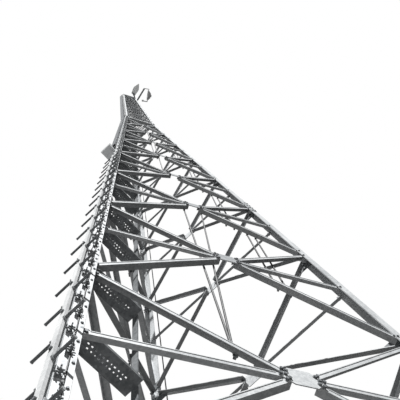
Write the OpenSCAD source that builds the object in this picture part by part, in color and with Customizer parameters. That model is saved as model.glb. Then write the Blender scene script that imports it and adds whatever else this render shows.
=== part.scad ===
// Self-supporting three-legged lattice tower.
// Millimetres, Z up. The origin is the middle of the underside of leg A's base plate.
// Leg A is at the origin, leg B is along +X, leg C is behind them along +Y.

/* [Tower] */
// Height of the leg tops above the base plates' underside
tower_height = 39700; // [39500:50:39850]
// Level where the lowest, tallest bay ends
first_level = 3750; // [3650:50:3850]
// Height of each regular bay of the tapered body
bay_height = 2632; // [2602:10:2662]
// Side of the triangle through the leg corners at the ground
base_side = 3860; // [3760:20:3960]
// Side of the triangle at the waist, where the taper changes
waist_side = 1264; // [1224:10:1304]
// Side of the triangle at the leg tops
top_side = 880; // [850:10:910]

/* [Legs] */
// Width of the flat nose of the bent leg plate
nose = 52; // [48:1:58]
// Width of each leg flange beyond the nose
flange = 103; // [98:1:110]
// Thickness of the leg plate
leg_t = 12; // [10:1:14]
// Width of each flange on the slimmer top legs
top_flange = 72; // [68:1:80]

/* [Bracing] */
// Face width of the bracing angles
brace_b = 46; // [44:1:52]
// Depth of the bracing angles into the tower
brace_d = 66; // [60:1:72]
// Depth of the level angles that run from each hub to the legs
level_d = 42; // [38:1:48]
// Thickness of the bracing angles
brace_t = 7; // [6:1:8]
// Thickness of the hub plates
hub_t = 8; // [6:1:10]
// Number of bays in the top section
top_bays = 18; // [16:1:19]
// Face width of the top section's angles
top_b = 40; // [36:2:44]

/* [Base] */
// Side of each square base plate
plate_side = 450; // [430:10:480]
// Thickness of each base plate
plate_t = 25; // [20:1:30]
// Spacing of the anchor holes
hole_spacing = 350; // [330:5:360]
// Diameter of the anchor holes
hole_d = 33; // [30:1:36]

/* [Fittings] */
// Vertical spacing of the rungs on one side of the climbing rail
rung_pitch = 550; // [530:5:570]
// Length of a rung
rung_len = 180; // [165:5:195]
// Diameter of a rung
rung_d = 22; // [18:1:26]
// Width of the climbing rail
rail_w = 48; // [44:1:52]
// Gap between the climbing rail and the leg's nose
rail_off = 22; // [18:1:28]
// Width of the inner brackets
bracket_w = 165; // [150:5:180]
// Reach of the inner brackets from leg A's corner
bracket_reach = 670; // [640:10:690]
// Length of the junction box
box_len = 300; // [280:5:310]
// Width of the duct
duct_w = 120; // [100:5:130]
// Diameter of the dish
dish_d = 700; // [660:10:740]

/* [Hidden] */
$fn = 12;

steel = [0.72, 0.74, 0.75];
pale = [0.85, 0.86, 0.86];
big = 60000;
foot_level = 330;
waist = first_level + 8 * bay_height + 700;
splice = first_level + 3 * bay_height;
top_len = tower_height - waist;
brace_end = nose + 80;    // from the leg corner to the end of a brace
top_end = nose + 35;      // the same on the top section
joint_gap = 90;           // half the distance between two braces on a leg
arm_gap = 72;             // from the point where arms meet to their ends
top_d = 30;               // depth of the top section's angles

// side of the triangle at a height
function side_at(z) = z < waist
    ? base_side + (waist_side - base_side) * z / waist
    : waist_side + (top_side - waist_side) * (z - waist) / top_len;
function inradius(s) = s / (2 * sqrt(3));
function radius(s) = s / sqrt(3);
function level(i) = i == 0 ? foot_level : first_level + (i - 1) * bay_height;
lean = atan((inradius(base_side) - inradius(waist_side)) / waist);
top_lean = atan((inradius(waist_side) - inradius(top_side)) / top_len);
tilt = atan((radius(base_side) - radius(waist_side)) / waist);
top_tilt = atan((radius(waist_side) - radius(top_side)) / top_len);

// the middle of leg A's base plate is the origin
leg_mid = 95;             // from the leg corner to the middle of its section
foot_r = radius(base_side) - leg_mid;
module placed() translate([foot_r * cos(30), foot_r * sin(30), 0]) children();

// bent plate leg: corner at the origin, opening towards -X
function half_angle(tl) = atan(tan(30) / cos(tl));
module leg_section(f, tl) {
    h = half_angle(tl);
    c = cos(h);
    s = sin(h);
    e = nose + f;
    m = (nose * c + leg_t - leg_t * s) / c * s - leg_t * c;
    polygon([[-e * c, e * s], [-nose * c, nose * s], [-nose * c, -nose * s], [-e * c, -e * s],
        [-e * c - leg_t * s, -e * s + leg_t * c], [-nose * c - leg_t, -m],
        [-nose * c - leg_t, m], [-e * c - leg_t * s, e * s - leg_t * c]]);
}

// frame of a leg: corner line along Z, tower axis towards -X
module leg_frame(k, z0, tl)
    rotate([0, 0, 210 + 120 * k]) translate([radius(side_at(z0)), 0, z0]) rotate([0, -tl, 0]) children();

module leg_run(k, z0, z1, f, tl) intersection() {
    leg_frame(k, z0, tl) translate([0, 0, -60])
        linear_extrude((z1 - z0) / cos(tl) + 120) leg_section(f, tl);
    translate([-big / 2, -big / 2, z0]) cube([big, big, z1 - z0]);
}
module leg_lower(k) leg_run(k, plate_t, splice, flange, tilt);
module leg_middle(k) leg_run(k, splice, waist, flange, tilt);
module leg_top(k) leg_run(k, waist, tower_height, top_flange, top_tilt);

// frame of a face: X along the face, Z up its slope, Y into the tower
module body_face(k)
    rotate([0, 0, 120 * k]) translate([0, -inradius(base_side), 0]) rotate([-lean, 0, 0]) children();
module top_face(k)
    rotate([0, 0, 120 * k]) translate([0, -inradius(waist_side), waist]) rotate([-top_lean, 0, 0]) children();

// angle bar from p to q of a face, its inner leg on the lower edge or on the upper one
module bar(p, q, b, d, t, upper = false) {
    translate([p[0], leg_t, p[1]]) rotate([0, -atan2(q[1] - p[1], q[0] - p[0]), 0])
        rotate([90, 0, 90]) linear_extrude(norm(q - p)) mirror([0, upper ? 1 : 0, 0])
            polygon([[0, b / 2], [0, -b / 2], [d, -b / 2], [d, t - b / 2], [t, t - b / 2], [t, b / 2]]);
}

// half width between the brace ends, distance up the face, and the hub where the arms meet
function half_width(z) = side_at(z) / 2 - brace_end;
function low_v(i) = level(i) / cos(lean) + joint_gap;
function high_v(i) = level(i + 1) / cos(lean) - joint_gap;
function hub_v(i) = low_v(i) + (high_v(i) - low_v(i)) * half_width(level(i))
    / (half_width(level(i)) + half_width(level(i + 1)));

// one braced bay: six arms bolted to a hub plate
module bay(i) {
    vh = hub_v(i);
    wh = half_width(vh * cos(lean));
    g = 25 + wh / 60;
    ends = [[half_width(level(i)), low_v(i)], [wh, vh], [half_width(level(i + 1)), high_v(i)]];
    for (s = [-1, 1], n = [0:2]) {
        far = [s * ends[n][0], ends[n][1]];
        hub = [s * g, vh];
        near = hub + (far - hub) * arm_gap / norm(far - hub);
        d = n == 1 ? level_d : brace_d;
        if (s < 0) bar(far, near, brace_b, d, brace_t, n == 2);
        else bar(near, far, brace_b, d, brace_t, n == 2);
    }
    l = g + 105;
    m = wh / 24;
    translate([0, leg_t, vh]) rotate([90, 0, 0]) linear_extrude(hub_t)
        polygon([[-l, -35], [70 - l, -45 - m], [l - 70, -45 - m], [l, -35],
            [l, 35], [l - 70, 45 + m], [70 - l, 45 + m], [-l, 35]]);
}
module bracing(k, first) body_face(k) for (i = [first:first + 2]) bay(i);

// top section: rungs and alternating diagonals
tie_drop = 75;              // from the head down to the lower edge of its tie plates
step = (top_len / cos(top_lean) - 100 - tie_drop) / top_bays;
module top_bracing(k) top_face(k) for (i = [0:top_bays - 1]) {
    lo = 100 + i * step;
    a = side_at(waist + lo) / 2 - top_end;
    c = side_at(waist + lo + step) / 2 - top_end;
    bar([-a, lo + 40], [a, lo + 40], top_b, top_d, 5);
    if (i % 2 == 0) bar([-a, lo + 105], [c, lo + step - 25], top_b, top_d, 5);
    else bar([-c, lo + step - 25], [a, lo + 105], top_b, top_d, 5);
}

// ring of heavier angles at the waist
module waist_ring() for (k = [0:2]) top_face(k)
    bar([-waist_side / 2 + nose + 45, 45], [waist_side / 2 - nose - 45, 45], 80, 120, 8);

// plates that tie the leg tops together and the cap plate on them
cap_t = 8;
module prism(r, h) linear_extrude(h)
    polygon([for (k = [0:2]) [r * cos(210 + 120 * k), r * sin(210 + 120 * k)]]);
module head_frame() {
    for (k = [0:2]) top_face(k) translate([-top_side / 2 + top_end, leg_t, top_len / cos(top_lean) - tie_drop])
        cube([top_side - 2 * top_end, 10, 60]);
    translate([0, 0, tower_height]) intersection() {
        prism(radius(top_side) + 40, cap_t);
        rotate([0, 0, 180]) prism(2 * radius(top_side) - 60, cap_t);
    }
}

module base_plate(k)
    rotate([0, 0, 210 + 120 * k]) translate([foot_r, 0, 0]) difference() {
        translate([-plate_side / 2, -plate_side / 2, 0]) cube([plate_side, plate_side, plate_t]);
        for (x = [-1, 1], y = [-1, 1])
            translate([x * hole_spacing / 2, y * hole_spacing / 2, -1])
                cylinder(h = plate_t + 2, d = hole_d, $fn = 48);
    }

// brackets inside leg A's corner at every joint, a flat rail across their ends
bracket_t = 8;
function corner_x(tl) = -(nose * cos(half_angle(tl)) + leg_t);
module inner_bracket(z) {
    h = half_angle(tilt);
    x = corner_x(tilt);
    m = -x * tan(h) - leg_t / cos(h);
    leg_frame(0, z, tilt) linear_extrude(bracket_t)
        polygon([[x, m], [x, -m], [x - (bracket_w / 2 - m) / tan(h), -bracket_w / 2],
            [-bracket_reach, -bracket_w / 2], [-bracket_reach, bracket_w / 2],
            [x - (bracket_w / 2 - m) / tan(h), bracket_w / 2]]);
}
module inner_brackets() for (i = [1:8]) {
    inner_bracket(level(i));
    inner_bracket(hub_v(i) * cos(lean) + 50);
}
module inner_rail() intersection() {
    leg_frame(0, level(1) - 150, tilt) translate([-bracket_reach - 10, -30, 0]) cube([10, 60, waist]);
    translate([-big / 2, -big / 2, 0]) cube([big, big, waist - 400]);
}

// climbing rail standing off leg A's nose, rungs left and right in turn
nose_x = -nose * cos(half_angle(tilt));
rail_foot = 2950;
rail_len = 10400;
rail_d = 24;
last_rung = floor((rail_len - 400) / rung_pitch);
module rail_frame() leg_frame(0, rail_foot, tilt) children();
module climbing_rail() rail_frame()
    translate([nose_x + rail_off, -rail_w / 2, 0]) cube([rail_d, rail_w, rail_len]);
module climbing_rungs() rail_frame() for (i = [0:last_rung], s = [0, 1])
    translate([nose_x + rail_off + rail_d / 2, s ? rail_w / 2 : -rail_w / 2, 311 + (i - s / 2) * rung_pitch])
        rotate([s ? -90 : 90, 0, 0]) cylinder(h = rung_len, d = rung_d);
module rail_brackets() rail_frame() for (i = [0:last_rung])
    translate([nose_x, -15, 155 + i * rung_pitch]) cube([rail_off, 30, 40]);

// junction box outside leg A's flange on face CA, on a plate bolted to the flange
duct_foot = 15670;
box_h = 200;
box_y = 150;
module box_frame() leg_frame(0, duct_foot, tilt) children();
module hollow(size, t) difference() {
    cube(size);
    translate([t, t, t]) cube(size - [2 * t, 2 * t, 2 * t]);
}
module junction_box() box_frame() translate([-box_len * 0.75, -box_y - box_len + 24, 0])
    hollow([box_len, box_len - 24, box_h], 3);
module flange_plate(a, b, t, tl, far) {
    h = half_angle(tl);
    linear_extrude(t) polygon([[-a * cos(h), -a * sin(h)], [far[0], -far[2]], [far[1], -far[2]],
        [-b * cos(h), -b * sin(h)]]);
}
module box_bracket() box_frame() translate([0, 0, box_h - 40])
    flange_plate(nose + 8, nose + flange - 8, 10, tilt, [-50, -150, box_y]);

// open duct from the box to the head, outside the flange
duct_d = 70;
duct_x = -75;
duct_y = 66;
module tray(w, y, z0, z1) difference() {
    translate([duct_x, -y - w, z0]) cube([duct_d, w, z1 - z0]);
    translate([duct_x - 1, 3 - y - w, z0 - 1]) cube([duct_d - 2, w - 6, z1 - z0 + 2]);
}
module duct_lower() intersection() {
    box_frame() tray(duct_w, duct_y, box_h, waist);
    translate([-big / 2, -big / 2, 0]) cube([big, big, waist]);
}
module duct_upper() intersection() {
    leg_frame(0, waist, top_tilt) tray(duct_w + 40, duct_y, -100, top_len - 60);
    translate([-big / 2, -big / 2, waist]) cube([big, big, big]);
}
module duct_brackets() {
    box_frame() for (z = [700:1300:waist - duct_foot - 1000]) translate([0, 0, z])
        flange_plate(nose + 8, nose + 60, 12, tilt, [duct_x + 45, duct_x, duct_y]);
    leg_frame(0, waist, top_tilt) for (z = [500:1400:top_len - 700]) translate([0, 0, z])
        flange_plate(nose + 8, nose + 60, 12, top_tilt, [duct_x + 45, duct_x, duct_y]);
}

// antennas at the head, on leg B: a curved dish on a cranked arm, a flat tapered antenna above it
module head_b(z) leg_frame(1, waist, top_tilt) translate([0, 0, z]) children();
top_nose_x = -nose * cos(half_angle(top_tilt));
dish_level = top_len - 1600;
dish_front = [660, -130];
dish_turn = 22;
dish_deep = 180;
link = 250;
ear = 45;
elbow = dish_front + [(dish_d / 2 + 25) * sin(dish_turn) - link * cos(dish_turn),
    -(dish_d / 2 + 25) * cos(dish_turn) - link * sin(dish_turn)];
module dish_frame() head_b(dish_level + 45) translate([dish_front[0], dish_front[1], 0])
    rotate([0, 0, dish_turn]) rotate([0, 90, 0]) children();
module dish_arm() {
    head_b(dish_level) {
        translate([top_nose_x, -25, -20]) cube([90, 50, 130]);
        rotate([0, 0, atan2(elbow[1], elbow[0])]) translate([0, -45, 0]) cube([norm(elbow), 90, 90]);
    }
    dish_frame() translate([-20, -dish_d / 2 - ear, -link]) cube([40, 40, link]);
}
module dish() dish_frame() {
    difference() {
        cylinder(h = dish_deep, d1 = dish_d, d2 = dish_d * 0.4, $fn = 48);
        translate([0, 0, -1]) cylinder(h = dish_deep - 8, d1 = dish_d - 8, d2 = dish_d * 0.4, $fn = 48);
    }
    for (s = [-1, 1]) translate([-25, s > 0 ? dish_d / 2 - 12 : -dish_d / 2 - ear, 0]) cube([50, ear + 12, 50]);
}
module dish_feed() dish_frame() {
    translate([-15, dish_d / 2 + 8, -240]) cube([30, 30, 240]);
    translate([-40, dish_d / 2 - 42, -300]) cube([80, 80, 60]);
}
antenna_level = top_len - 200;
module panel_arm() head_b(antenna_level) {
    h = half_angle(top_tilt);
    a = nose + 8;
    b = nose + top_flange - 8;
    linear_extrude(12) polygon([[-a * cos(h), -a * sin(h)], [-b * cos(h), -b * sin(h)],
        [-190, -430], [-20, -330]]);
}
antenna_len = 730;
antenna_w = 340;            // at its widest
antenna_foot_w = 260;
antenna_tip_w = 40;
antenna_turn = -48;         // from the leg's axis plane
module panel_antenna() head_b(antenna_level + 12) translate([-120, -280, 0]) rotate([0, 0, antenna_turn])
    linear_extrude(70) polygon([[0, -antenna_foot_w / 2], [0.4 * antenna_len, -antenna_w / 2],
        [0.6 * antenna_len, -antenna_w / 2], [antenna_len, -antenna_tip_w / 2],
        [antenna_len, antenna_tip_w / 2], [0.6 * antenna_len, antenna_w / 2],
        [0.4 * antenna_len, antenna_w / 2], [0, antenna_foot_w / 2]]);

color(steel) placed() base_plate(0);  // base_plate_a
color(steel) placed() base_plate(1);  // base_plate_b
color(steel) placed() base_plate(2);  // base_plate_c
color(steel) placed() leg_lower(0);  // leg_a_lower
color(steel) placed() leg_lower(1);  // leg_b_lower
color(steel) placed() leg_lower(2);  // leg_c_lower
color(steel) placed() leg_middle(0);  // leg_a_middle
color(steel) placed() leg_middle(1);  // leg_b_middle
color(steel) placed() leg_middle(2);  // leg_c_middle
color(steel) placed() leg_top(0);  // leg_a_top
color(steel) placed() leg_top(1);  // leg_b_top
color(steel) placed() leg_top(2);  // leg_c_top
color(steel) placed() bracing(0, 0);  // bracing_ab_low
color(steel) placed() bracing(0, 3);  // bracing_ab_mid
color(steel) placed() bracing(0, 6);  // bracing_ab_high
color(steel) placed() bracing(1, 0);  // bracing_bc_low
color(steel) placed() bracing(1, 3);  // bracing_bc_mid
color(steel) placed() bracing(1, 6);  // bracing_bc_high
color(steel) placed() bracing(2, 0);  // bracing_ca_low
color(steel) placed() bracing(2, 3);  // bracing_ca_mid
color(steel) placed() bracing(2, 6);  // bracing_ca_high
color(steel) placed() top_bracing(0);  // top_bracing_ab
color(steel) placed() top_bracing(1);  // top_bracing_bc
color(steel) placed() top_bracing(2);  // top_bracing_ca
color(steel) placed() waist_ring();
color(steel) placed() head_frame();
color(steel) placed() inner_brackets();
color(steel) placed() inner_rail();
color(steel) placed() climbing_rail();
color(steel) placed() climbing_rungs();
color(steel) placed() rail_brackets();
color(pale) placed() junction_box();
color(steel) placed() box_bracket();
color(pale) placed() duct_lower();
color(pale) placed() duct_upper();
color(steel) placed() duct_brackets();
color(steel) placed() dish_arm();
color(pale) placed() dish();
color(steel) placed() dish_feed();
color(steel) placed() panel_arm();
color(pale) placed() panel_antenna();
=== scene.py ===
import math

import bpy
from mathutils import Matrix, Vector


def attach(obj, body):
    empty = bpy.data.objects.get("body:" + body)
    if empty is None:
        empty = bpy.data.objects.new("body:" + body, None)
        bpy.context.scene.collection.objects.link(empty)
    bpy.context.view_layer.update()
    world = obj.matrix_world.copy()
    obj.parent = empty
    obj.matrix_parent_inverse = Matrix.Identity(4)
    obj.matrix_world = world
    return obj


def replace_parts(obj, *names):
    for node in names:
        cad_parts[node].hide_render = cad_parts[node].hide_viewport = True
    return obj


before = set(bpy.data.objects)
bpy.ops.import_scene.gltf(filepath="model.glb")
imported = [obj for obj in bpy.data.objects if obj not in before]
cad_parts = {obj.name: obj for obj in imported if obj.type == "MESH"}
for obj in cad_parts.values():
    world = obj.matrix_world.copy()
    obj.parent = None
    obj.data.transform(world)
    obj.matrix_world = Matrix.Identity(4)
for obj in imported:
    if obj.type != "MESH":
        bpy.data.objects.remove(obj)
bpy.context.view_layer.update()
scene = bpy.context.scene
cos, sin, tan, rad = math.cos, math.sin, math.tan, math.radians

# ---------------------------------------------------------------- the tower's own sizes, in metres
# sides of the triangle at the ground, at the waist and at the head
BASE, WAIST_SIDE, TOP_SIDE = 3.86, 1.264, 0.88
# levels of the bracing: the lowest, the second, one every bay from there on; the waist over the last
FOOT, FIRST, BAY, BAYS, WAIST_UP = 0.33, 3.75, 2.632, 9, 0.7
WAIST = FIRST + (BAYS - 1) * BAY + WAIST_UP
SPLICE = FIRST + 3 * BAY
HEAD = 39.7
TOP_LEN = HEAD - WAIST
# a leg's flat nose and plate, the arms' width and plate, the hub plates
NOSE, LEG_T = 0.052, 0.012
BRACE_B, BRACE_T, HUB_T = 0.046, 0.007, 0.008
# an arm's end lies this far from its level and from the nose's edge
ARM_UP, ARM_IN = 0.09, 0.08
# from a hub's middle to where its arms' lines start: a fixed part, and the half width over this number
HUB_GAP, HUB_SHARE = 0.025, 60
# upper section: bays, lowest level above the waist, tie plates below the head
TOP_BAYS, TOP_FIRST, TIE_DROP = 18, 0.1, 0.075
# base plate: thickness, distance of its holes, its middle inside the leg's corner line
PLATE_T, HOLES, PLATE_IN = 0.025, 0.35, 0.095


def inradius(s):
    return s / (2 * math.sqrt(3))


def radius(s):
    return s / math.sqrt(3)


LEAN = math.atan((inradius(BASE) - inradius(WAIST_SIDE)) / WAIST)
TILT = math.atan((radius(BASE) - radius(WAIST_SIDE)) / WAIST)
TOP_LEAN = math.atan((inradius(WAIST_SIDE) - inradius(TOP_SIDE)) / TOP_LEN)
TOP_TILT = math.atan((radius(WAIST_SIDE) - radius(TOP_SIDE)) / TOP_LEN)
# between a leg's middle plane and one of its flanges
HALF = math.atan(tan(rad(30)) / cos(TILT))
NOSE_X = -NOSE * cos(HALF)
FOOT_R = radius(BASE) - PLATE_IN
AXIS = Vector((FOOT_R * cos(rad(30)), FOOT_R * sin(rad(30)), 0))


def side_at(z):
    if z < WAIST:
        return BASE + (WAIST_SIDE - BASE) * z / WAIST
    return WAIST_SIDE + (TOP_SIDE - WAIST_SIDE) * (z - WAIST) / TOP_LEN


def level(i):
    return FOOT if i == 0 else FIRST + (i - 1) * BAY


def move(x, y, z):
    return Matrix.Translation((x, y, z))


def turn(angle, axis):
    return Matrix.Rotation(angle, 4, axis)


def leg_frame(k, z, tilt):
    """Corner line of a leg along Z, the tower's axis towards -X."""
    return (Matrix.Translation(AXIS) @ turn(rad(210 + 120 * k), "Z")
            @ move(radius(side_at(z)), 0, z) @ turn(-tilt, "Y"))


def body_face(k):
    """X along the face, Z up its slope, Y into the tower."""
    return (Matrix.Translation(AXIS) @ turn(rad(120 * k), "Z")
            @ move(0, -inradius(BASE), 0) @ turn(-LEAN, "X"))


def top_face(k):
    return (Matrix.Translation(AXIS) @ turn(rad(120 * k), "Z")
            @ move(0, -inradius(WAIST_SIDE), WAIST) @ turn(-TOP_LEAN, "X"))


def half_width(z):
    return side_at(z) / 2 - NOSE - ARM_IN


def low_v(i):
    return level(i) / cos(LEAN) + ARM_UP


def high_v(i):
    return level(i + 1) / cos(LEAN) - ARM_UP


def hub_v(i):
    a, b = half_width(level(i)), half_width(level(i + 1))
    return low_v(i) + (high_v(i) - low_v(i)) * a / (a + b)


def hub_gap(i):
    return HUB_GAP + half_width(hub_v(i) * cos(LEAN)) / HUB_SHARE


# ---------------------------------------------------------------- pieces in mesh code
# parts of a bolt as shares of its diameter: where washer, head, nut and stub end, and their radii
WASHER, HEX, NUT, STUB = 0.15, 0.8, 0.95, 1.35
WASHER_R, HEX_R, STUB_R = 0.95, 0.83, 0.48


class Piece:
    def __init__(self, name):
        self.name, self.v, self.f = name, [], []

    def add(self, verts, faces, m):
        n = len(self.v)
        self.v += [m @ Vector(p) for p in verts]
        self.f += [[n + i for i in face] for face in faces]

    def prism(self, m, outline, h):
        """Outline in XY, drawn up along Z by h, its faces turned outwards."""
        n = len(outline)
        area = sum(outline[i - 1][0] * outline[i][1] - outline[i][0] * outline[i - 1][1]
                   for i in range(n))
        if area < 0:
            outline = outline[::-1]
        verts = [(x, y, 0) for x, y in outline] + [(x, y, h) for x, y in outline]
        faces = [list(range(n))[::-1], list(range(n, 2 * n))]
        faces += [[i, (i + 1) % n, (i + 1) % n + n, i + n] for i in range(n)]
        self.add(verts, faces, m)

    def block(self, m, lo, hi):
        self.prism(m @ move(0, 0, lo[2]),
                   [(lo[0], lo[1]), (hi[0], lo[1]), (hi[0], hi[1]), (lo[0], hi[1])], hi[2] - lo[2])

    def rod(self, m, p, q, r, n=8, turned=0.0):
        p, q = Vector(p), Vector(q)
        to = (q - p).to_track_quat("Z", "Y").to_matrix().to_4x4()
        ring = [(r * cos(turned + 2 * math.pi * i / n), r * sin(turned + 2 * math.pi * i / n))
                for i in range(n)]
        self.prism(m @ Matrix.Translation(p) @ to, ring, (q - p).length)

    def bolt(self, m, p, out, grip, d):
        """Washer and hexagon head on the outer side, washer, nut and stub on the inner side."""
        p, out = Vector(p), Vector(out).normalized()
        a = p[0] * 37 + p[2] * 91  # each hexagon stands at an angle of its own
        self.rod(m, p, p + out * WASHER * d, WASHER_R * d, 10)
        self.rod(m, p + out * WASHER * d, p + out * HEX * d, HEX_R * d, 6, a)
        q = p - out * grip
        self.rod(m, q, q - out * WASHER * d, WASHER_R * d, 10)
        self.rod(m, q - out * WASHER * d, q - out * NUT * d, HEX_R * d, 6, a + 1)
        self.rod(m, q - out * NUT * d, q - out * STUB * d, STUB_R * d, 8)

    def done(self, material, slot="galvanised_steel"):
        mesh = bpy.data.meshes.new(self.name)
        mesh.from_pydata([tuple(p) for p in self.v], [], self.f)
        mesh.update()
        ob = bpy.data.objects.new(self.name, mesh)
        scene.collection.objects.link(ob)
        ob.data.materials.append(material)
        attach(ob, "root")
        return ob


# ---------------------------------------------------------------- materials
def shade(hexa):
    """A screen colour as linear light."""
    c = [int(hexa[i:i + 2], 16) / 255 for i in (1, 3, 5)]
    return tuple(x / 12.92 if x <= 0.04045 else ((x + 0.055) / 1.055) ** 2.4 for x in c) + (1.0,)


def node(tree, kind, **values):
    n = tree.nodes.new(kind)
    for key, value in values.items():
        if hasattr(n, key):
            setattr(n, key, value)
        else:
            n.inputs[key.replace("_", " ")].default_value = value
    return n

# share of the crystal pattern in the mottling, and the range of it that goes from dark to light
CRYSTALS, MOTTLE_LOW, MOTTLE_HIGH = 0.45, 0.35, 1.1
# painted shade on faces that look down, partly also a duller film, sets in and is full at these heights
# of the face's normal
UNDER_SHADE_FROM, UNDER_SHADE_FULL = -0.15, -0.75


def finish(name, light, dark, rough, metal, spangle, stain, bump, under):
    """Mottled surface. Spangle is the size of its fine cells and stain that of its soft patches, in
    metres; under is the share of its tone that is left on faces that look down, where it paints shade
    and a duller film."""
    m = bpy.data.materials.new(name)
    m.use_nodes = True
    t = m.node_tree
    b = t.nodes["Principled BSDF"]
    place = node(t, "ShaderNodeNewGeometry")
    cells = node(t, "ShaderNodeTexVoronoi", Scale=1 / spangle)
    soft = node(t, "ShaderNodeTexNoise", Scale=1 / stain, Detail=3.0)
    t.links.new(place.outputs["Position"], cells.inputs["Vector"])
    t.links.new(place.outputs["Position"], soft.inputs["Vector"])
    grain = node(t, "ShaderNodeSeparateColor")
    t.links.new(cells.outputs["Color"], grain.inputs[0])
    both = node(t, "ShaderNodeMath", operation="MULTIPLY_ADD")
    both.inputs[1].default_value = CRYSTALS
    t.links.new(grain.outputs[0], both.inputs[0])
    t.links.new(soft.outputs["Fac"], both.inputs[2])
    ramp = node(t, "ShaderNodeMapRange")
    ramp.inputs["From Min"].default_value = MOTTLE_LOW
    ramp.inputs["From Max"].default_value = MOTTLE_HIGH
    t.links.new(both.outputs[0], ramp.inputs["Value"])
    mix = node(t, "ShaderNodeMix", data_type="RGBA")
    mix.inputs["A"].default_value = shade(dark)
    mix.inputs["B"].default_value = shade(light)
    t.links.new(ramp.outputs["Result"], mix.inputs["Factor"])
    # faces that look down are darkened: painted shade for undersides that the ground lights little,
    # partly also a duller film that rain never washes
    turned = node(t, "ShaderNodeSeparateXYZ")
    t.links.new(place.outputs["Normal"], turned.inputs[0])
    underside_shade = node(t, "ShaderNodeMapRange")
    underside_shade.inputs["From Min"].default_value = UNDER_SHADE_FROM
    underside_shade.inputs["From Max"].default_value = UNDER_SHADE_FULL
    underside_shade.inputs["To Min"].default_value = 1.0
    underside_shade.inputs["To Max"].default_value = under
    t.links.new(turned.outputs["Z"], underside_shade.inputs["Value"])
    # multiplies the mottled tone by the painted shade of faces that look down
    dull = node(t, "ShaderNodeMix", data_type="RGBA", blend_type="MULTIPLY")
    dull.inputs["Factor"].default_value = 1.0
    t.links.new(mix.outputs["Result"], dull.inputs["A"])
    t.links.new(underside_shade.outputs["Result"], dull.inputs["B"])
    t.links.new(dull.outputs["Result"], b.inputs["Base Color"])
    worn = node(t, "ShaderNodeMapRange")
    worn.inputs["To Min"].default_value = rough - 0.1
    worn.inputs["To Max"].default_value = rough + 0.1
    t.links.new(soft.outputs["Fac"], worn.inputs["Value"])
    t.links.new(worn.outputs["Result"], b.inputs["Roughness"])
    b.inputs["Metallic"].default_value = metal
    if bump:
        relief = node(t, "ShaderNodeBump", Strength=bump, Distance=0.001)
        t.links.new(soft.outputs["Fac"], relief.inputs["Height"])
        t.links.new(relief.outputs["Normal"], b.inputs["Normal"])
    return m


# hot-dip zinc, weathered matt: pale where the light falls, with a faint crystal pattern
galvanised = finish("galvanised steel", "#d6d8d9", "#adb0b2", 0.55, 0.2, 0.018, 0.35, 0.15, 0.42)
# bolts and nuts, darkened as painted shade, so clusters read as dark points on the pale plates as their
# shaded sides do
bolt_painted_shade = finish("galvanised bolts", "#9a9da0", "#5c5f61", 0.5, 0.35, 0.006, 0.08, 0.1, 0.4)
# climbing rail, nearly white: painted light, so the rail reads as bright as the sunlit flange where the
# lamp leaves it grey
rail_painted_light = finish("rail steel with painted light", "#eeefef", "#cfd1d2", 0.5, 0.15, 0.02, 0.3, 0.12, 0.6)
# plates and gussets cut later than the angles, greyer
zinc_plate = finish("galvanised plate", "#c6c9ca", "#8d9092", 0.5, 0.25, 0.022, 0.25, 0.12, 0.4)
# steel that hangs in the tower's shade, darkened further as painted shade
steel_painted_shade = finish("steel darkened as painted shade", "#85888a", "#56595b", 0.65, 0.15, 0.02, 0.2, 0.1, 0.6)
# sheet-metal duct and box, grey: partly the duct's own paint, partly painted shade, so its sunlit side
# reads as dark as shade
duct_paint_and_shade = finish("grey painted sheet", "#717477", "#5c5f62", 0.6, 0.0, 0.03, 0.5, 0.05, 0.9)
box_paint = finish("pale painted sheet", "#d2d4d5", "#c0c2c3", 0.55, 0.0, 0.03, 0.5, 0.05, 1.0)
# plastic skin of cables, matt and near black; the bracing rods take it too, as painted shade
cable_black_and_rod_shade = finish("black cable plastic", "#3c3e3f", "#2c2d2e", 0.6, 0.0, 0.01, 0.2, 0.0, 1.0)
# thin angles of the upper section, duller than the heavy bars
dull_zinc = finish("dull galvanised steel", "#a6a9ab", "#7d8082", 0.6, 0.2, 0.02, 0.3, 0.1, 0.45)
# dish skin, off-white paint
dish_paint = finish("off-white painted metal", "#e4e5e5", "#cccece", 0.45, 0.0, 0.03, 0.3, 0.05, 1.0)
# antenna cover, matt plastic
radome = finish("radome plastic", "#e6e7e6", "#cfd0d0", 0.6, 0.0, 0.05, 0.3, 0.05, 1.0)

LOOKS = {
    "duct_lower": duct_paint_and_shade, "duct_upper": duct_paint_and_shade, "junction_box": box_paint,
    "dish": dish_paint, "dish_feed": dish_paint, "panel_antenna": radome,
    # inner brackets, inner rail and rungs take the steel darkened as painted shade
    "inner_brackets": steel_painted_shade, "inner_rail": steel_painted_shade, "climbing_rungs": steel_painted_shade,
    "climbing_rail": rail_painted_light, "rail_brackets": zinc_plate, "duct_brackets": zinc_plate,
    "box_bracket": zinc_plate, "head_frame": zinc_plate, "dish_arm": zinc_plate,
    "panel_arm": zinc_plate, "top_bracing_ab": dull_zinc, "top_bracing_bc": dull_zinc,
    "top_bracing_ca": dull_zinc,
}
for name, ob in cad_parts.items():
    ob.data.materials.clear()
    ob.data.materials.append(LOOKS.get(name, galvanised))

# ---------------------------------------------------------------- fittings of the faces
OUT = (0, -1, 0)
FACES = ("ab", "bc", "ca")
# stands an outline up in the plane of a face, its thickness outwards
UPRIGHT = turn(rad(90), "X")
# bolts of an arm: distances from its hub end; distances from its leg end, with the surface they sit on
HUB_STEPS, HUB_BOLT = (0.078, 0.112), 0.018
LEG_STEPS, LEG_BOLT, LEG_SHIFT = ((0.012, 0), (0.045, LEG_T)), 0.016, 0.002
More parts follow.
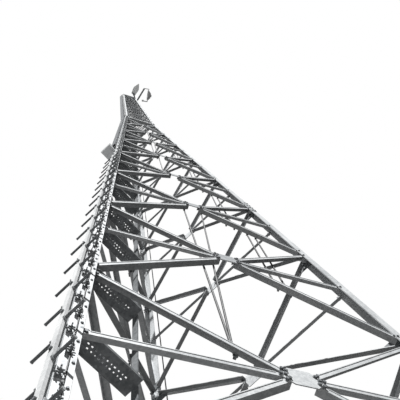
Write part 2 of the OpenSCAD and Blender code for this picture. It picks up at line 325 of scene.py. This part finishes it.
# hub cover: reach past the arms' start; half height and the number the half width is divided by to
# add to it; half height of its ends, length of its slopes, thickness
COVER_REACH, COVER_HALF, COVER_SHARE = 0.1, 0.04, 24
COVER_END, COVER_SLOPE, COVER_T = 0.031, 0.07, 0.003
# bar on an arm: distances from hub and leg, distances of its edges from the arm's, thickness
BAR_HUB, BAR_LEG, BAR_LOW, BAR_HIGH, BAR_T = 0.14, 0.07, 0.009, 0.001, 0.0045
# gusset: side edge past the arm's end, length along the arm, both ends along the leg; drop and width
# of its tip, thickness
GUSSET_SIDE, GUSSET_LEN, GUSSET_BACK, GUSSET_UP = 0.075, 0.17, 0.02, 0.14
GUSSET_DROP, GUSSET_W, GUSSET_T = 0.012, 0.05, 0.008
# upper section: inset of its bolts, height on a level bar, heights at a sloping bar's ends, plate
TOP_IN, TOP_BAR, TOP_LOW, TOP_HIGH, TOP_T = 0.02, 0.04, 0.105, 0.025, 0.005


def flat(p):
    return p[0], p[2]


gussets = Piece("gusset_plates")
covers = Piece("hub_covers")
for k, face in enumerate(FACES):
    m = body_face(k)
    hubs = Piece("hub_bolts_" + face)
    joints = Piece("joint_bolts_" + face)
    edges = Piece("arm_edge_bars_" + face)
    for i in range(BAYS):
        vh = hub_v(i)
        wh = half_width(vh * cos(LEAN))
        g = hub_gap(i)
        ends = ((half_width(level(i)), low_v(i), 1), (wh, vh, 0),
                (half_width(level(i + 1)), high_v(i), -1))
        # thin outer cover on the hub plate, a little inside its edge
        if i > 1:
            l, c = g + COVER_REACH, COVER_HALF + wh / COVER_SHARE
            covers.prism(m @ move(0, LEG_T - HUB_T, vh) @ UPRIGHT,
                         [(-l, -COVER_END), (COVER_SLOPE - l, -c), (l - COVER_SLOPE, -c),
                          (l, -COVER_END), (l, COVER_END), (l - COVER_SLOPE, c),
                          (COVER_SLOPE - l, c), (-l, COVER_END)], COVER_T)
        for s in (-1, 1):
            for x, v, up in ends:
                far, hub = Vector((s * x, 0, v)), Vector((s * g, 0, vh))
                d = (far - hub).normalized()
                for step in HUB_STEPS:
                    p = hub + d * step
                    hubs.bolt(m, (p[0], LEG_T - HUB_T, p[2]), OUT, HUB_T + BRACE_T, HUB_BOLT)
                for step, y in LEG_STEPS:
                    p = far + Vector((s, 0, 0)) * LEG_SHIFT - d * step
                    joints.bolt(m, (p[0], y, p[2]), OUT, LEG_T + BRACE_T, LEG_BOLT)
                # bar along the arm's outer upper edge, clear of the hub plate and the leg
                n = Vector((-d[2], 0, d[0])) * (1 if d[0] > 0 else -1)
                a, b = hub + d * BAR_HUB, far - d * BAR_LEG
                lo, hi = BRACE_B / 2 - BAR_LOW, BRACE_B / 2 - BAR_HIGH
                edges.prism(m @ move(0, LEG_T, 0) @ UPRIGHT,
                            [flat(a + n * lo), flat(b + n * lo), flat(b + n * hi), flat(a + n * hi)],
                            BAR_T)
                # gusset behind the ends of the sloping arms, on leg B's flange towards C and leg C's
                if up and k == 1:
                    e = s * (x + GUSSET_SIDE)
                    n = Vector((-d[2], 0, d[0])) * s * up
                    tip = far - d * GUSSET_LEN - n * GUSSET_DROP
                    gussets.prism(m @ move(0, LEG_T + BRACE_T + GUSSET_T, 0) @ UPRIGHT,
                                  [(e, v - up * GUSSET_BACK), (e, v + up * GUSSET_UP),
                                   (tip[0] + n[0] * GUSSET_W, tip[2] + n[2] * GUSSET_W), flat(tip)],
                                  GUSSET_T)
    hubs.done(bolt_painted_shade)
    joints.done(bolt_painted_shade)
    edges.done(galvanised)

    t = top_face(k)
    fine = Piece("top_joint_bolts_" + face)
    step = (TOP_LEN / cos(TOP_LEAN) - TOP_FIRST - TIE_DROP) / TOP_BAYS
    for i in range(TOP_BAYS):
        lo = TOP_FIRST + i * step
        for s in (-1, 1):
            a = side_at(WAIST + lo) / 2 - NOSE - TOP_IN
            fine.bolt(t, (s * a, 0, lo + TOP_BAR), OUT, LEG_T + TOP_T, LEG_BOLT)
            w = lo + (TOP_LOW if (i % 2 == 0) == (s < 0) else step - TOP_HIGH)
            a = side_at(WAIST + w) / 2 - NOSE - TOP_IN
            fine.bolt(t, (s * a, 0, w), OUT, LEG_T + TOP_T, LEG_BOLT)
    fine.done(bolt_painted_shade)

# the gussets take the steel darkened as painted shade
gussets.done(steel_painted_shade)
covers.done(dull_zinc)

# ---------------------------------------------------------------- splices of the legs
# places along a flange run from the corner line to -X; its outer side is +Y for s = 1
SPLICE_FAR, SPLICE_NEAR, SPLICE_T, SPLICE_END = -0.148, -0.062, 0.01, 0.04
SPLICE_COLUMNS, SPLICE_ROWS, SPLICE_BOLT = (-0.082, -0.126), 4, 0.014
# height of a splice, lower and upper end of its plates from there
SPLICES = (SPLICE, -0.3, 0.3), (WAIST - 0.02, -0.32, -0.02)


def outer(s, t):
    """Y range of something of thickness t that lies on a flange's outer side."""
    return (0, t) if s > 0 else (-t, 0)


splices = Piece("splice_plates")
splice_bolts = Piece("splice_bolts")
for k in range(3):
    for z, lo, hi in SPLICES:
        for s in (-1, 1):
            f = leg_frame(k, z, TILT) @ turn(-s * HALF, "Z")
            y = outer(s, SPLICE_T)
            splices.block(f, (SPLICE_FAR, y[0], lo), (SPLICE_NEAR, y[1], hi))
            for j in range(SPLICE_ROWS):
                row = lo + SPLICE_END + (hi - lo - 2 * SPLICE_END) * j / (SPLICE_ROWS - 1)
                for x in SPLICE_COLUMNS:
                    splice_bolts.bolt(f, (x, s * SPLICE_T, row), (0, s, 0), LEG_T + SPLICE_T,
                                      SPLICE_BOLT)
splices.done(zinc_plate)
splice_bolts.done(bolt_painted_shade)

# ---------------------------------------------------------------- climbing rail on leg A
# height of the rail's foot, gap behind it, its width and depth
RAIL_FOOT, RAIL_OFF, RAIL_W, RAIL_D = 2.95, 0.022, 0.048, 0.024
# rungs to each side, their pitch and length, heights of the first rung and the first fixing
RUNGS, RUNG_PITCH, RUNG_LEN, FIRST_RUNG, FIRST_FIX = 19, 0.55, 0.18, 0.311, 0.175
CAP_LEN, CAP_R, ROOT_LEN, ROOT_R = 0.008, 0.0125, 0.014, 0.018
RAIL_GRIP, RAIL_BOLT = 0.02, 0.017
HOOK_Y, HOOK_LO, HOOK_HI = 0.024, (-0.004, -0.006, -0.025), (0.018, 0.006, 0.025)
rail = leg_frame(0, RAIL_FOOT, TILT)
stops = Piece("rung_stops")
rail_bolts = Piece("rail_bolts")
for i in range(RUNGS):
    # a cap on each rung's end and a nut at its root, left and right in turn
    for s in (0, 1):
        z = FIRST_RUNG + (i - s / 2) * RUNG_PITCH
        x = NOSE_X + RAIL_OFF + RAIL_D / 2
        y = RAIL_W / 2 + RUNG_LEN
        side = 1 if s else -1
        stops.rod(rail, (x, side * (y - CAP_LEN), z), (x, side * y, z), CAP_R, 12)
        stops.rod(rail, (x, side * RAIL_W / 2, z), (x, side * (RAIL_W / 2 + ROOT_LEN), z), ROOT_R, 6)
    z = FIRST_FIX + i * RUNG_PITCH
    rail_bolts.bolt(rail, (NOSE_X + RAIL_OFF + RAIL_D, 0, z), (1, 0, 0), RAIL_GRIP, RAIL_BOLT)
    # a clamp hooks each bracket over the two edges of the nose
    for s in (-1, 1):
        stops.block(rail @ move(NOSE_X, s * HOOK_Y, z), HOOK_LO, HOOK_HI)
stops.done(zinc_plate)
rail_bolts.done(steel_painted_shade)

# ---------------------------------------------------------------- cleats and studs on leg A's flanges
# first row from the corner, shift of every other cleat, height over the rail's foot where face CA's end
CLEAT_ROW, CLEAT_SHIFT, CLEAT_TOP = -0.052, 0.026, 12
# a cleat is a small angle: its two widths, thickness, half length
CLEAT_W, CLEAT_D, CLEAT_T, CLEAT_HALF = 0.044, 0.042, 0.006, 0.028
# studs: distance from the cleat's middle, radii of stud and nut, lengths, places on the cleat
STUD_OFF, STUD_R, STUD_NUT = 0.014, 0.0055, 0.0095
STUD_IN, STUD_LEN, NUT_TOP, STUD_OUT, STUD_PAST, STUD_BACK = 0.026, 0.058, 0.018, 0.03, 0.01, 0.05
# lugs above the splice: place, ends, half width, thickness; height, length, nut's top, radii of the stud
LUG_X, LUG_LOW, LUG_TOP, LUG_HALF, LUG_T = -0.134, 0.03, 0.075, 0.016, 0.01
LUG_UP, LUG_STUD, LUG_NUT, LUG_STUD_R, LUG_NUT_R = 0.05, 0.05, 0.022, 0.008, 0.0125
# studs between: place, height, base, length, nut's ends, radii of base, stud and nut
MID_X, MID_UP, MID_BASE, MID_STUD, MID_LOW, MID_TOP = -0.1, 0.13, 0.008, 0.055, 0.03, 0.042
MID_BASE_R, MID_R, MID_NUT_R = 0.014, 0.007, 0.012
cleats = Piece("rail_cleats")
studs = Piece("cleat_studs")
for j in range(int((WAIST - RAIL_FOOT) / (RUNG_PITCH / 2)) - 1):
    z = FIRST_FIX + j * RUNG_PITCH / 2
    for s in (-1, 1):
        if s < 0 and z > CLEAT_TOP:
            continue
        f = rail @ turn(-s * HALF, "Z")
        x = CLEAT_ROW - CLEAT_SHIFT * ((j + (s > 0)) % 2)
        lo, hi = z - CLEAT_HALF, z + CLEAT_HALF
        y = outer(s, CLEAT_T)
        cleats.block(f, (x - CLEAT_W, y[0], lo), (x, y[1], hi))
        y = outer(s, CLEAT_D)
        cleats.block(f, (x - CLEAT_T, y[0], lo), (x, y[1], hi))
        for u in (-STUD_OFF, STUD_OFF):
            w, v = x - STUD_IN, s * STUD_OUT
            studs.rod(f, (w, 0, z + u), (w, s * STUD_LEN, z + u), STUD_R, 8)
            studs.rod(f, (w, s * CLEAT_T, z + u), (w, s * NUT_TOP, z + u), STUD_NUT, 6)
            studs.rod(f, (x + STUD_PAST, v, z + u), (x - STUD_BACK, v, z + u), STUD_R, 8)
            studs.rod(f, (x + STUD_PAST, v, z + u), (x, v, z + u), STUD_NUT, 6)
    # two more rows on face AB: lugs above the splice, where the edge bar has ended, and studs between
    f = rail @ turn(-HALF, "Z")
    if z + RAIL_FOOT > SPLICE:
        w = z + LUG_UP
        cleats.block(f, (LUG_X - LUG_HALF, 0, z + LUG_LOW), (LUG_X + LUG_HALF, LUG_T, z + LUG_TOP))
        studs.rod(f, (LUG_X, 0, w), (LUG_X, LUG_STUD, w), LUG_STUD_R, 8)
        studs.rod(f, (LUG_X, LUG_T, w), (LUG_X, LUG_NUT, w), LUG_NUT_R, 6)
    if j % 2 == 0:
        w = z + MID_UP
        cleats.rod(f, (MID_X, 0, w), (MID_X, MID_BASE, w), MID_BASE_R, 6)
        studs.rod(f, (MID_X, 0, w), (MID_X, MID_STUD, w), MID_R, 8)
        studs.rod(f, (MID_X, MID_LOW, w), (MID_X, MID_TOP, w), MID_NUT_R, 6)
cleats.done(zinc_plate)
studs.done(steel_painted_shade)

# ---------------------------------------------------------------- edge bar and cables of the legs
# the bar's foot and top, its edges from the corner, its thickness; its bolts
STRIP_FOOT, STRIP_TOP = 2.9, SPLICE / cos(TILT) - 0.35
STRIP_FAR, STRIP_NEAR, STRIP_T = -0.153, -0.118, 0.012
STRIP_BOLT_X, STRIP_FIRST, STRIP_LAST, STRIP_PITCH, STRIP_BOLT = -0.136, 3.0, SPLICE - 0.45, 0.275, 0.012
# the thin cable beside it, the one on leg C, those on the nose of the upper section
THIN_X, THIN_Y, THIN_R = -0.111, 0.005, 0.0055
INNER_X, INNER_Y, INNER_LOW, INNER_HIGH, INNER_R = -0.12, -0.16, 0.2, 20, 0.01
FEED_PITCH, FEED_R, FEED_END = 0.026, 0.013, 0.3
strip = Piece("leg_edge_bar")
strip_bolts = Piece("leg_edge_bolts")
f = leg_frame(0, 0, TILT) @ turn(-HALF, "Z")
cable = Piece("leg_cable")
strip.block(f, (STRIP_FAR, 0, STRIP_FOOT), (STRIP_NEAR, STRIP_T, STRIP_TOP))
cable.rod(f, (THIN_X, THIN_Y, STRIP_FOOT), (THIN_X, THIN_Y, STRIP_TOP), THIN_R, 8)
cable.rod(leg_frame(2, FOOT, TILT), (INNER_X, INNER_Y, INNER_LOW),
          (INNER_X, INNER_Y, INNER_HIGH), INNER_R, 8)
# cables run up the nose of the upper section and end under the cap
for y in (-FEED_PITCH, 0.0, FEED_PITCH):
    cable.rod(leg_frame(0, WAIST, TOP_TILT), (NOSE_X + FEED_R, y, FEED_END),
              (NOSE_X + FEED_R, y, TOP_LEN - FEED_END), FEED_R, 8)
cable.done(cable_black_and_rod_shade)
z = STRIP_FIRST
while z < STRIP_LAST:
    strip_bolts.bolt(f, (STRIP_BOLT_X, STRIP_T, z), (0, 1, 0), LEG_T + STRIP_T, STRIP_BOLT)
    z += STRIP_PITCH
strip.done(galvanised)
strip_bolts.done(bolt_painted_shade)

# ---------------------------------------------------------------- thin rods of the finer bracing
# the share of an arm on which a rod can be clamped, and the shortest rod as a share of its line
ARM_START, ARM_STOP, SHORTEST = 0.06, 0.97, 0.05
# a rod's distance behind the face and its radius; half size of a clamp, its gap, radius of its nut
ROD_Y, ROD_R, CLAMP, CLAMP_GAP, CLAMP_NUT = 0.0885, 0.011, 0.016, 0.004, 0.0125


def slopes(i):
    """The sloping arms of a bay as pairs of points on the face."""
    vh, g = hub_v(i), hub_gap(i)
    for s in (-1, 1):
        for z, v in ((level(i), low_v(i)), (level(i + 1), high_v(i))):
            yield (s * g, vh), (s * half_width(z), v)


def crossings(p, q):
    """Shares of the way from p to q at which a straight line crosses sloping arms."""
    found = []
    for i in range(BAYS):
        for a, b in slopes(i):
            dx, dv, ex, ev = q[0] - p[0], q[1] - p[1], b[0] - a[0], b[1] - a[1]
            den = dx * ev - dv * ex
            if abs(den) < 1e-6:
                continue
            t = ((a[0] - p[0]) * ev - (a[1] - p[1]) * ex) / den
            u = ((a[0] - p[0]) * dv - (a[1] - p[1]) * dx) / den
            if ARM_START < u < ARM_STOP:
                found.append(t)
    return found


def on_face(s, bays):
    """A point by its share of the side from leg A and its bays above the third level."""
    z = level(2) + bays * BAY
    return side_at(z) * (s - 0.5), z / cos(LEAN)


def brace_rod(m, p, q):
    """Rod behind the arms, run on to the arm nearest each end and clamped there."""
    shares = crossings(p, q)
    ends = [min(shares, key=lambda t: abs(t - want)) for want in (0, 1)]
    if abs(ends[0] - ends[1]) < SHORTEST:
        return
    points = [(p[0] + (q[0] - p[0]) * t, ROD_Y, p[1] + (q[1] - p[1]) * t) for t in ends]
    rods.rod(m, points[0], points[1], ROD_R, 8)
    for c in points:
        clamps.block(m @ Matrix.Translation(c), (-CLAMP, -CLAMP, -CLAMP), (CLAMP, -CLAMP_GAP, CLAMP))
        clamps.rod(m, (c[0], ROD_Y - CLAMP_GAP, c[2]), (c[0], ROD_Y + CLAMP, c[2]), CLAMP_NUT, 6)


rods, clamps = Piece("bracing_rods"), Piece("rod_clamps")
# two long rods hang from both sides of a hub and meet at one place
HUB_SIDE, LONG_TOP, LONG_SHARE, LONG_FOOT = 0.05, 1.5, 0.38, -0.35
# short ones stand in pairs near leg B
SHORT_SHARES, SHORT_TOP, SHORT_FOOT, SHORT_LEAN = (0.74, 0.78), 1.1, 0.4, 0.07
# and shorter ones under the hubs higher up
HIGH_TOP, HIGH_FOOT, HIGH_SHARE, HIGH_APART = 2.5, 1.45, 0.45, 0.02
m = body_face(0)
for side in (-1, 1):
    brace_rod(m, on_face(0.5 + side * HUB_SIDE, LONG_TOP), on_face(LONG_SHARE, LONG_FOOT))
for i in range(5):
    for share in SHORT_SHARES:
        brace_rod(m, on_face(share, SHORT_TOP + i), on_face(share - SHORT_LEAN, SHORT_FOOT + i))
    if i != 1:
        brace_rod(m, on_face(0.5 - HUB_SIDE / 2, HIGH_TOP + i), on_face(HIGH_SHARE, HIGH_FOOT + i))
    if i > 1:
        brace_rod(m, on_face(0.5 + HUB_SIDE / 2, HIGH_TOP + i),
                  on_face(HIGH_SHARE + HIGH_APART, HIGH_FOOT + i))
# the rods take the near-black cable colour as painted shade, so they read dark where the lamp lights
# them
rods.done(cable_black_and_rod_shade)
clamps.done(steel_painted_shade)

# ---------------------------------------------------------------- foot: anchor nuts, washers, ribs
# tops of washer, nut, second nut and rod over the base plate, and their radii
TOPS = (0.006, 0.03, 0.048, 0.085)
FOOT_WASHER_R, FOOT_NUT_R, FOOT_ROD_R = 0.038, 0.027, 0.0145
RIB_T, RIB = 0.012, [(0, 0), (0.14, 0), (0.14, 0.02), (0.015, 0.18), (0, 0.18)]
anchors = Piece("anchor_nuts")
ribs = Piece("foot_ribs")
for k in range(3):
    m = (Matrix.Translation(AXIS) @ turn(rad(210 + 120 * k), "Z") @ move(FOOT_R, 0, PLATE_T))
    for x in (-1, 1):
        for y in (-1, 1):
            p = Vector((x * HOLES / 2, y * HOLES / 2, 0))
            washer, nut, lock, top = (p + Vector((0, 0, z)) for z in TOPS)
            anchors.rod(m, p, washer, FOOT_WASHER_R, 20)
            anchors.rod(m, washer, nut, FOOT_NUT_R, 6)
            anchors.rod(m, nut, lock, FOOT_NUT_R, 6, 0.4)
            anchors.rod(m, lock, top, FOOT_ROD_R, 16)
    # two ribs stand outside the flanges, one before the nose
    for a, start in ((150, 0.06), (210, 0.06), (0, 0.052)):
        ribs.prism(m @ turn(rad(a), "Z") @ move(start, RIB_T / 2, 0) @ UPRIGHT, RIB, RIB_T)
anchors.done(bolt_painted_shade)
ribs.done(zinc_plate)

# ---------------------------------------------------------------- inner brackets with holes and lips
# a bracket's width, reach and thickness, its solid part before the holes, its height over a hub
BR_W, BR_REACH, BR_T, BR_END, BR_UP = 0.165, 0.67, 0.008, 0.06, 0.05
# two rows of holes: edges of a row from the middle, pitch, count; the bridges between and their changes
HOLE_IN, HOLE_OUT, HOLE_PITCH, HOLE_COUNT, BRIDGE, BRIDGE_MORE = 0.009, 0.021, 0.034, 10, 0.018, 0.004
# lips: their ends, their distance from the middle, half thickness, top
LIP_FAR, LIP_NEAR, LIP_Y, LIP_T, LIP_TOP = -0.66, -0.24, 0.0795, 0.003, 0.034
plates = Piece("perforated_brackets")
lips = Piece("bracket_lips")
# the bracket starts in the leg's corner and widens along the flanges
bx = -(NOSE * cos(HALF) + LEG_T)
bm = -bx * tan(HALF) - LEG_T / cos(HALF)
wide = bx - (BR_W / 2 - bm) / tan(HALF)
first = wide - BR_END
end = first - HOLE_PITCH * (HOLE_COUNT + 0.5)
for i in range(1, BAYS):
    for z in (level(i), hub_v(i) * cos(LEAN) + BR_UP):
        m = leg_frame(0, z, TILT)
        plates.prism(m, [(bx, bm), (bx, -bm), (wide, -BR_W / 2), (first, -BR_W / 2), (first, BR_W / 2),
                         (wide, BR_W / 2)], BR_T)
        plates.block(m, (-BR_REACH, -BR_W / 2, 0), (end, BR_W / 2, BR_T))
        for y0, y1 in ((-BR_W / 2, -HOLE_OUT), (-HOLE_IN, HOLE_IN), (HOLE_OUT, BR_W / 2)):
            plates.block(m, (end, y0, 0), (first, y1, BR_T))
        # the bridges between two holes of a row
        for j in range(HOLE_COUNT + 1):
            for side, shift in ((-1, 0), (1, 0.5)):
                a = first - HOLE_PITCH * (j + shift)
                b = max(a - BRIDGE - BRIDGE_MORE * (j * 7 % 3), end)
                lo, hi = sorted((side * HOLE_IN, side * HOLE_OUT))
                plates.block(m, (b, lo, 0), (a, hi, BR_T))
        for side in (-1, 1):
            lips.block(m, (LIP_FAR, side * LIP_Y - LIP_T, BR_T),
                       (LIP_NEAR, side * LIP_Y + LIP_T, LIP_TOP))
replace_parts(plates.done(steel_painted_shade), "inner_brackets")
lips.done(steel_painted_shade)

# ---------------------------------------------------------------- junction box, duct, antennas
# the box: height of its foot, two opposite corners in plan, its lid, its latch and the glands below
BOX_Z, BOX_LO, BOX_HI = 15.67, Vector((-0.225, -0.426)), Vector((0.075, -0.15))
LID_RIM, LID_LOW, LID_TOP = 0.006, 0.16, 0.206
LATCH_FROM, LATCH_TO, LATCH_OUT, LATCH_LOW, LATCH_TOP = 0.03, 0.06, 0.012, 0.06, 0.1
GLANDS, GLAND_FIRST, GLAND_PITCH, GLAND_Y, GLAND_LEN, GLAND_R = 4, 0.05, 0.06, -0.2, 0.03, 0.014
# clips round the duct; for its lower and its upper length: count, first height, pitch, outer edge
CLIP_BACK, CLIP_FRONT, CLIP_IN, CLIP_HALF = -0.078, -0.002, -0.063, 0.02
LOW_CLIPS, HIGH_CLIPS = (7, 0.7, 1.3, -0.189), (9, 0.5, 1.6, -0.229)
# the dish: place from leg B's line, distance below the head, turn, radius; its rim
DISH_X, DISH_Y, DISH_DROP, DISH_TURN, DISH_R = 0.66, -0.13, 1.555, rad(22), 0.35
RIM_R, RIM_STEPS = 0.009, 48
# in the dish's own frame: shroud of the feed arm, horn, boss behind the dish
SHROUD_HALF, SHROUD_IN, SHROUD_OUT = 0.035, 0.33, 0.405
HORN_BACK, HORN_FRONT, HORN_R = -0.19, -0.3, 0.06
BOSS_LOW, BOSS_TOP, BOSS_R = 0.17, 0.23, 0.07
m = leg_frame(0, BOX_Z, TILT)
box = Piece("box_fittings")
box.block(m, (BOX_LO[0] - LID_RIM, BOX_LO[1] - LID_RIM, LID_LOW),
          (BOX_HI[0] + LID_RIM, BOX_HI[1] + LID_RIM, LID_TOP))
box.block(m, (BOX_LO[0] + LATCH_FROM, BOX_LO[1] - LATCH_OUT, LATCH_LOW),
          (BOX_LO[0] + LATCH_TO, BOX_LO[1], LATCH_TOP))
for j in range(GLANDS):
    x = BOX_LO[0] + GLAND_FIRST + j * GLAND_PITCH
    box.rod(m, (x, GLAND_Y, 0), (x, GLAND_Y, -GLAND_LEN), GLAND_R, 10)
box.done(box_paint, "duct_metal")
clips = Piece("duct_clips")
for f, (count, start, pitch, edge) in ((m, LOW_CLIPS), (leg_frame(0, WAIST, TOP_TILT), HIGH_CLIPS)):
    for j in range(count):
        z = start + j * pitch
        clips.block(f, (CLIP_BACK, edge, z - CLIP_HALF), (CLIP_FRONT, CLIP_IN, z + CLIP_HALF))
clips.done(zinc_plate)

feed = Piece("feed_arm_shroud")
dish = (leg_frame(1, WAIST, TOP_TILT) @ move(DISH_X, DISH_Y, TOP_LEN - DISH_DROP)
        @ turn(DISH_TURN, "Z") @ turn(rad(90), "Y"))
feed.block(dish, (-SHROUD_HALF, SHROUD_IN, HORN_BACK), (SHROUD_HALF, SHROUD_OUT, 0.0))
feed.rod(dish, (0, DISH_R, HORN_FRONT), (0, DISH_R, HORN_BACK), HORN_R, 16)
feed.rod(dish, (0, 0, BOSS_LOW), (0, 0, BOSS_TOP), BOSS_R, 16)
feed.done(dish_paint, "dish_metal")
rim = Piece("dish_rim")
for j in range(RIM_STEPS):
    a, b = 2 * math.pi * j / RIM_STEPS, 2 * math.pi * (j + 1) / RIM_STEPS
    rim.rod(dish, (DISH_R * cos(a), DISH_R * sin(a), 0), (DISH_R * cos(b), DISH_R * sin(b), 0),
            RIM_R, 6)
rim.done(dish_paint, "dish_metal")

# ---------------------------------------------------------------- light, backdrop and camera
# how much the backdrop lights the tower; a disc of ground under it
SKY_LIGHT, FLOOR_R, FLOOR_Z, FLOOR_STEPS = 0.10, 4.6, -0.002, 72
scene.view_settings.view_transform = "Standard"
world = bpy.data.worlds.new("backdrop")
scene.world = world
world.use_nodes = True
wt = world.node_tree
bg = wt.nodes["Background"]
bg.inputs["Color"].default_value = (1, 1, 1, 1)
bg.inputs["Strength"].default_value = 1.0
soft = node(wt, "ShaderNodeBackground", Color=(1, 1, 1, 1), Strength=SKY_LIGHT)
seen = node(wt, "ShaderNodeLightPath")
pick = node(wt, "ShaderNodeMixShader")
wt.links.new(seen.outputs["Is Camera Ray"], pick.inputs[0])
wt.links.new(soft.outputs[0], pick.inputs[1])
wt.links.new(bg.outputs[0], pick.inputs[2])
wt.links.new(pick.outputs[0], wt.nodes["World Output"].inputs["Surface"])


def lamp(name, azimuth, height, strength, spread):
    """A far lamp standing at that compass angle and height above the horizon, in degrees."""
    ob = bpy.data.objects.new(name, bpy.data.lights.new(name, "SUN"))
    ob.data.energy, ob.data.angle = strength, rad(spread)
    d = Vector((cos(rad(azimuth)) * cos(rad(height)), sin(rad(azimuth)) * cos(rad(height)),
                sin(rad(height))))
    ob.rotation_euler = d.to_track_quat("Z", "Y").to_euler()
    scene.collection.objects.link(ob)


lamp("key", azimuth=246, height=51, strength=6.3, spread=1.0)
lamp("ground light", azimuth=215, height=-55, strength=1.0, spread=90)

floor = bpy.data.meshes.new("floor")
ring = [(AXIS[0] + FLOOR_R * cos(i * math.pi / (FLOOR_STEPS / 2)),
         AXIS[1] + FLOOR_R * sin(i * math.pi / (FLOOR_STEPS / 2)), FLOOR_Z) for i in range(FLOOR_STEPS)]
floor.from_pydata(ring, [], [list(range(FLOOR_STEPS))])
ground = bpy.data.objects.new("floor", floor)
pale = bpy.data.materials.new("floor")
pale.use_nodes = True
pale.node_tree.nodes["Principled BSDF"].inputs["Base Color"].default_value = shade("#c9c9c9")
pale.node_tree.nodes["Principled BSDF"].inputs["Roughness"].default_value = 0.9
ground.data.materials.append(pale)
scene.collection.objects.link(ground)

# camera at a person's eye height beside leg A, looking steeply up the tower; sensor, lens in mm
EYE = Vector((0.0406, -1.5956, 1.6))
YAW, PITCH, ROLL = rad(43.025), rad(73.721), rad(-30.396)
SENSOR, LENS, NEAR, FAR = 36, 53.92, 0.05, 200


def aim(yaw, pitch, roll):
    f = Vector((cos(pitch) * cos(yaw), cos(pitch) * sin(yaw), sin(pitch)))
    r = Vector((sin(yaw), -cos(yaw), 0))
    u = r.cross(f)
    right = cos(roll) * r + sin(roll) * u
    up = -sin(roll) * r + cos(roll) * u
    return Matrix((right, up, -f)).transposed().to_4x4()


camera = bpy.data.objects.new("camera", bpy.data.cameras.new("camera"))
scene.collection.objects.link(camera)
camera.matrix_world = Matrix.Translation(EYE) @ aim(YAW, PITCH, ROLL)
camera.data.sensor_width = SENSOR
camera.data.lens = LENS
camera.data.clip_start = NEAR
camera.data.clip_end = FAR
scene.camera = camera
